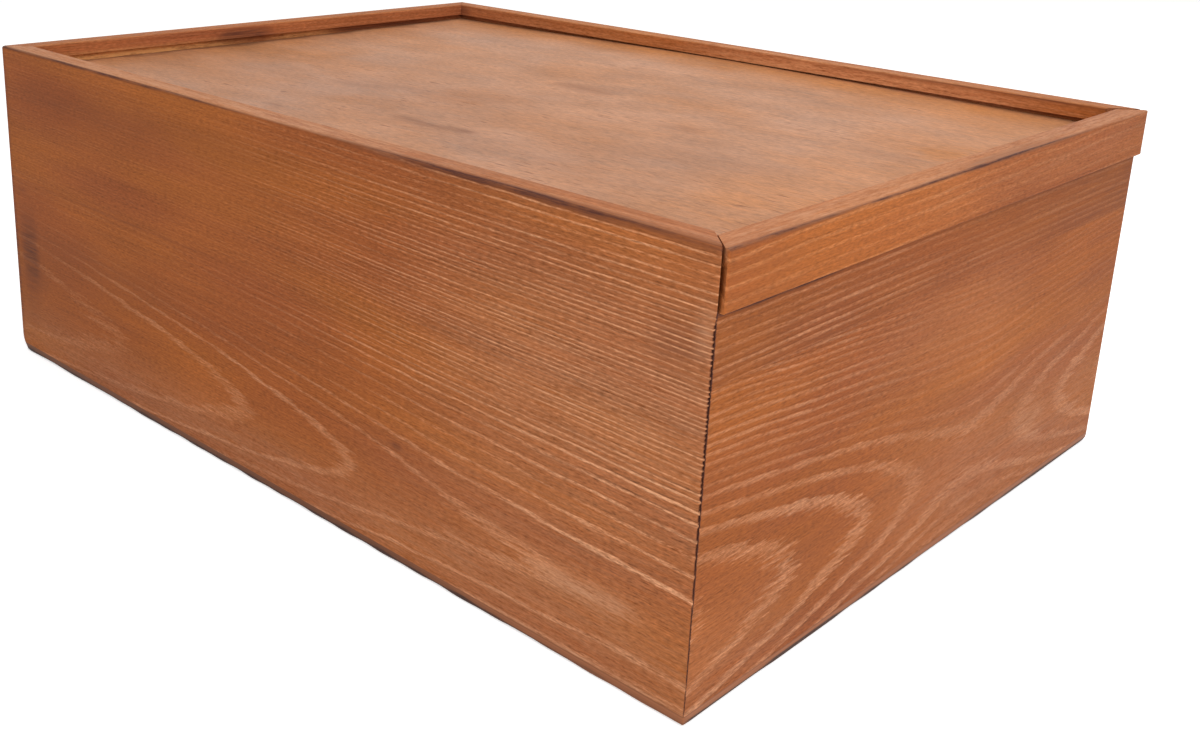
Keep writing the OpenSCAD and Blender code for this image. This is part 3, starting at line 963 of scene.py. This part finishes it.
# Painted shade low on the bottom's edge, where the box meets the floor.
below = 1 - smooth(*SHADE_HEIGHT, plate_z + SHADE_WAVER * unevenness)
low_shade = (UNDER_SHADE + EDGE_SHADE * by_edge) * (1 - shade_clears) * below
plate_soil_and_shade = np.maximum(front_darkening, low_shade)
plate_soil_and_shade = np.maximum(plate_soil_and_shade, JOINT_SOIL * smooth(*JOINT_HEIGHT, plate_z))
plate_marks = np.stack([plate_soil_and_shade, np.zeros_like(plate_x), np.zeros_like(plate_x)], -1)
bottom_ply = ply_finish_for("stained_bottom_ply", PLY_TAN, PLY_WARM, PLY_DARK, PLY_EDGE)
piece(
    "bottom_board_stained", knocked(plate), dict(marks=plate_marks), bottom_ply, "bottom_board", "box",
)

# The brads are thin headed nails of drawn steel wire, driven up through the bottom into the walls until
# their heads are flush. Only the heads show, on the underside.
STEEL_GREY = (150, 150, 148)
STEEL_MOTTLE = (1.7, 1.7, 1.7)
brad_steel = bpy.data.materials.new("drawn_steel")
brad_steel.use_nodes = True
steel = brad_steel.node_tree
steel_place = toned(steel, steel.nodes.new("ShaderNodeTexCoord").outputs["Object"], 1 / MM)
steel_mottle = streaks(steel, steel_place, STEEL_MOTTLE)
steel_skin = steel.nodes["Principled BSDF"].inputs
steel_skin["Metallic"].default_value = 1.0
steel_tone = weighted(steel, 0.9, (steel_mottle, 0.8))
plug(steel, toned(steel, stain(STEEL_GREY)[:3], steel_tone), steel_skin["Base Color"])
plug(steel, weighted(steel, 0.38, (steel_mottle, 0.4)), steel_skin["Roughness"])
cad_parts["bottom_brads"].data.materials.clear()
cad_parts["bottom_brads"].data.materials.append(brad_steel)

# The lid is a thin plywood panel with its veneer's grain along the box. It slides in the wall grooves, and
# a tongue at its open end is glued into the batten.
LID_STEP = 2.0
UNDER_STEP = 6.0
LID_EDGE = 0.25
LID_SIDE = 0.8
SIDE_STEP = 0.4
LID_SAG = 0.04
SAG_SEED = 21
SAG_WAVES = (25, 140)
SAG_SINK = 1.2
SAG_MARGIN = 4
SAG_FADE = 8
LID_DROOP = 0.75
DROOP_SPAN = (20, -130)
DROOP_HELD = 0.5
DROOP_ACROSS = 20
LID_BOW = 1.2
BOW_MIDDLE = -5
BOW_LENGTH = 90
BOW_ACROSS = 10
LID_STRAY = (5.0, 0.9)
STRAY_SEEDS = (41, 42)
STRAY_WAVES = (10, 45)
TONGUE_TRIM = 1.166
TONGUE_STEP = 0.06
LID_TAN = (191, 141, 110)
LID_WARM = (186, 121, 70)
LID_DARK = (124, 76, 48)
LID_EDGE_TAN = (170, 118, 82)
# Dark marks on the lid are stains and dirt, but at its closed end a dark line and a faint darker band beside
# it are painted shade under the wall's lip.
LID_DIRT_AND_SHADE = [
    (11, -53, 15, 2.0, 0.6), (22, -53, 4, 1.2, 0.5), (-35, -70, 5, 1.2, 0.6), (3, 18, 7, 4, 0.5),
    (-10, 56, 2.5, 1.5, 0.6), (-30, -25, 14, 3, 0.25), (52, -6, 9, 1.5, 0.3), (70, 20, 10, 1.2, 0.25),
    (108, 12, 9, 1.2, 0.35), (112, 8, 8, 1.0, 0.35), (78, -28, 22, 13, 0.2), (60, -60, 30, 10, 0.24),
    (0, -86, 140, 6, 0.22), (-60, -50, 100, 36, 0.2), (85, -77, 55, 13, 0.14), (-130, 0, 3.5, 150, 0.7),
    (-10, -15, 95, 55, 0.12), (-118, 0, 12, 130, 0.12), (-8, -20, 13, 9, 0.22), (-4, 42, 9, 10, 0.16),
    (57, -3, 5, 2, 0.35), (-42, -31, 8, 3, 0.3), (66, -42, 24, 9, 0.14), (-95, -40, 16, 16, 0.1),
]
LID_TINT = [
    (-110, -15, 22, 50, 0.5), (0, 86, 120, 12, 0.5), (112, 24, 9, 6, 0.6), (112, 0, 22, 90, 0.35),
    (-20, -15, 50, 40, -0.15), (-25, -50, 10, 7, 0.5), (5, 77, 14, 6, 0.4), (-8, -20, 12, 9, 0.35),
]
LID_OPEN = [(-30, -40, 60, 40, 0.6), (80, -60, 50, 30, 0.55), (95, 20, 30, 20, 0.5)]

batten_low, batten_high = millimetres("lid_batten")
shoulder = batten_low[0]
lid_half = lid_high[1]
lid_across = np.concatenate([
    straight((-lid_half + LID_EDGE, 1), (lid_half - LID_EDGE, 1), LID_STEP),
    straight((lid_half - LID_EDGE, 1), (lid_half, LID_SIDE), LID_EDGE),
    straight((lid_half, LID_SIDE), (lid_half, -LID_SIDE), SIDE_STEP),
    straight((lid_half, -LID_SIDE), (lid_half - LID_EDGE, -1), LID_EDGE),
    straight((lid_half - LID_EDGE, -1), (-lid_half + LID_EDGE, -1), UNDER_STEP),
    straight((-lid_half + LID_EDGE, -1), (-lid_half, -LID_SIDE), LID_EDGE),
    straight((-lid_half, -LID_SIDE), (-lid_half, LID_SIDE), SIDE_STEP),
    straight((-lid_half, LID_SIDE), (-lid_half + LID_EDGE, 1), LID_EDGE),
])
lid_along = np.concatenate([
    np.linspace(lid_low[0], shoulder - TONGUE_STEP, math.ceil((shoulder - lid_low[0]) / LID_STEP)),
    np.linspace(shoulder, lid_high[0], 3),
])
lid_width = np.where(lid_along < shoulder, lid_half, lid_half - TONGUE_TRIM) / lid_half
lid_x = np.broadcast_to(lid_along[:, None], (len(lid_along), len(lid_across)))
lid_y = lid_across[:, 0] * lid_width[:, None]
lid_mid = (lid_low[2] + lid_high[2]) / 2
lid_z = lid_mid + lid_across[:, 1] * (lid_high[2] - lid_low[2]) / 2
free = smooth(0, SAG_FADE, lid_half - SAG_MARGIN - np.abs(lid_y)) * smooth(0, SAG_FADE, shoulder - lid_x)
on_top = lid_across[:, 1] > LID_SIDE
lid_sag = LID_SAG * (ripple(lid_x, lid_y, SAG_SEED, *SAG_WAVES) - SAG_SINK) * free * on_top
held = DROOP_HELD * smooth(DROOP_ACROSS, lid_half, lid_y)
lid_droop = LID_DROOP * smooth(*DROOP_SPAN, lid_x) * (1 - held)
along_bow = np.exp(-((lid_x - BOW_MIDDLE) / BOW_LENGTH) ** 2)
lid_bow = LID_BOW * along_bow * smooth(BOW_ACROSS, lid_half, lid_y)
lid_points = np.stack([lid_x, lid_y, lid_z + lid_sag + lid_bow - lid_droop], -1)
stray_x = lid_x + LID_STRAY[0] * ripple(lid_x, lid_y, STRAY_SEEDS[0], *STRAY_WAVES)
stray_y = lid_y + LID_STRAY[1] * ripple(lid_x, lid_y, STRAY_SEEDS[1], *STRAY_WAVES)
lid_marks = np.stack([smudge(stray_x, stray_y, marks) for marks in (LID_DIRT_AND_SHADE, LID_TINT, LID_OPEN)], -1)
lid_ply = ply_finish_for("stained_lid_ply", LID_TAN, LID_WARM, LID_DARK, LID_EDGE_TAN)
piece("lid_panel_stained", lid_points, dict(marks=lid_marks), lid_ply, "lid_panel", "lid")

# The batten is a finer strip of pine, stained more orange and only lightly brushed. It is mitred to follow
# the walls, stands a little proud of the end wall as a grip, and is glued over the lid's tongue.
BATTEN_RADIUS = 0.4
BATTEN_FLUSH = 1.1
TONGUE_DEPTH = 3.0
BATTEN_SOFT = (152, 82, 42)
BATTEN_WARM = (170, 98, 48)
BATTEN_HARD = (204, 140, 92)
BATTEN_LOG = dict(
    **STRAIGHT_HEART, level=-60.0, level_lean=0.03, deep=70.0, deep_lean=0.02, wave=0.25, seed=14,
    years=[(100, 0), (250, 60)],
)
batten_foot, batten_top = batten_low[2], batten_high[2]
BATTEN = batten_high[0] - batten_low[0]
batten_section = np.concatenate([
    rounded((BATTEN_RADIUS, batten_foot + BATTEN_RADIUS), BATTEN_RADIUS, 270, 180),
    grooved_section(
        BATTEN, batten_foot + BATTEN_RADIUS, batten_top, BATTEN_RADIUS, BATTEN - TONGUE_DEPTH,
        lid_low[2], lid_high[2],
    )[:-math.ceil(BATTEN / PLAIN_STEP)],
    straight((BATTEN, batten_foot + BATTEN_RADIUS), (BATTEN, batten_foot), EDGE_STEP),
    straight((BATTEN, batten_foot), (BATTEN_RADIUS, batten_foot), EDGE_STEP),
])
batten_marks = dict(
    lines=0.3, outer=[(0, 88.5, 120, 1.6, 0.12), (15, 99.8, 30, 0.25, 0.35), (-92, 94, 22, 8, 0.28)],
    inner=[], bare_and_light=[(45, 94, 75, 6, 0.15)], inner_bare_and_light=[], crest=0.5,
    arris=lambda along: 0.8 - 0.5 * smooth(20, 90, along), arris_width=0.6, joint=0.3, joint_width=0.2,
)
batten_pine = pine_finish_for("orange_pine", BATTEN_SOFT, BATTEN_WARM, BATTEN_HARD)
pine_board(
    "lid_batten", batten_section, BOX_WIDTH, batten_high[0], 1, BATTEN_LOG, batten_marks, batten_pine,
    "lid", BATTEN_FLUSH,
)
